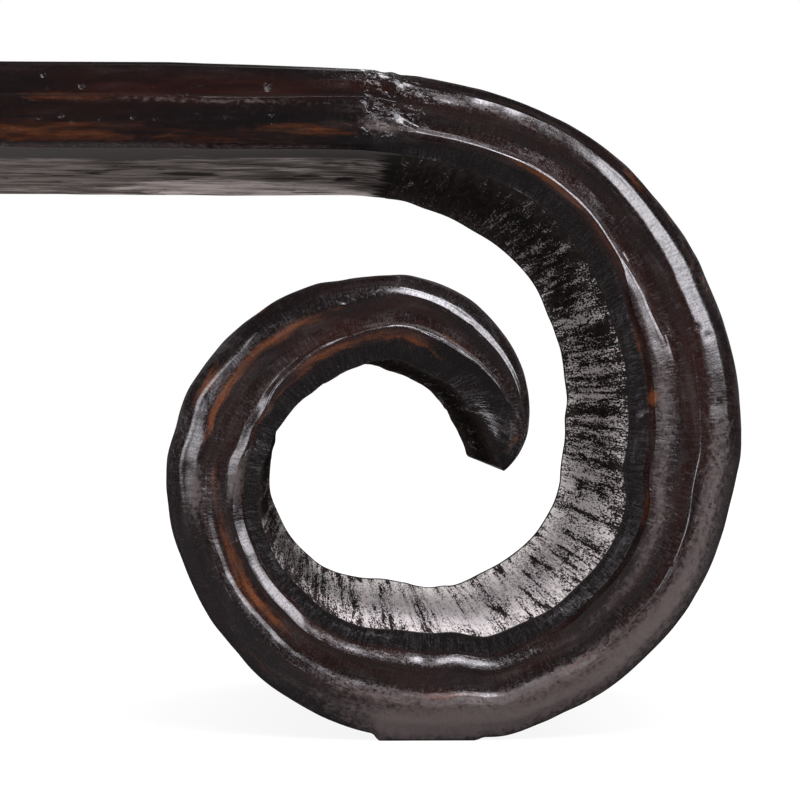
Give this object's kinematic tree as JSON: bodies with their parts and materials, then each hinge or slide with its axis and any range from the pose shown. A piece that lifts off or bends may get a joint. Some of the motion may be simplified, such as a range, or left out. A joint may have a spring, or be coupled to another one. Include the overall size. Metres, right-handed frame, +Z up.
{
  "type": "low altar table",
  "caption": "Low altar table with a thick moulded plank top whose ends turn down and curl inward into scrolls that stand on the floor as feet.",
  "frame": {"origin": "on the floor, under the centre of the table", "axes": "+Z up, +X along the table's length, -Y towards the front face that the picture shows"},
  "size_m": [1.3, 0.35, 0.34],
  "materials": {
    "lacquered_plank": "worn glossy dark brown lacquer over hardwood, bare weathered wood on the underside",
    "lacquered_scroll": "worn glossy dark brown-black lacquer over hardwood, rough sawn on the inside of the scroll",
    "batten_wood": "bare weathered hardwood",
    "tenon_wood": "bare planed hardwood",
    "bamboo": "split bamboo"
  },
  "bodies": {
    "root": {"batten_left": "batten_wood", "batten_middle": "batten_wood", "batten_pins": "bamboo", "batten_right": "batten_wood", "left_base_block": "lacquered_scroll", "left_curl_block": "lacquered_scroll", "left_lower_tenons": "tenon_wood", "left_shoulder_block": "lacquered_scroll", "left_tenon_wedges": "tenon_wood", "left_upper_tenons": "tenon_wood", "right_base_block": "lacquered_scroll", "right_curl_block": "lacquered_scroll", "right_lower_tenons": "tenon_wood", "right_shoulder_block": "lacquered_scroll", "right_tenon_wedges": "tenon_wood", "right_upper_tenons": "tenon_wood", "top_edge_tenons": "tenon_wood", "top_plank_front": "lacquered_plank", "top_plank_rear": "lacquered_plank"}
  },
  "joints": []
}
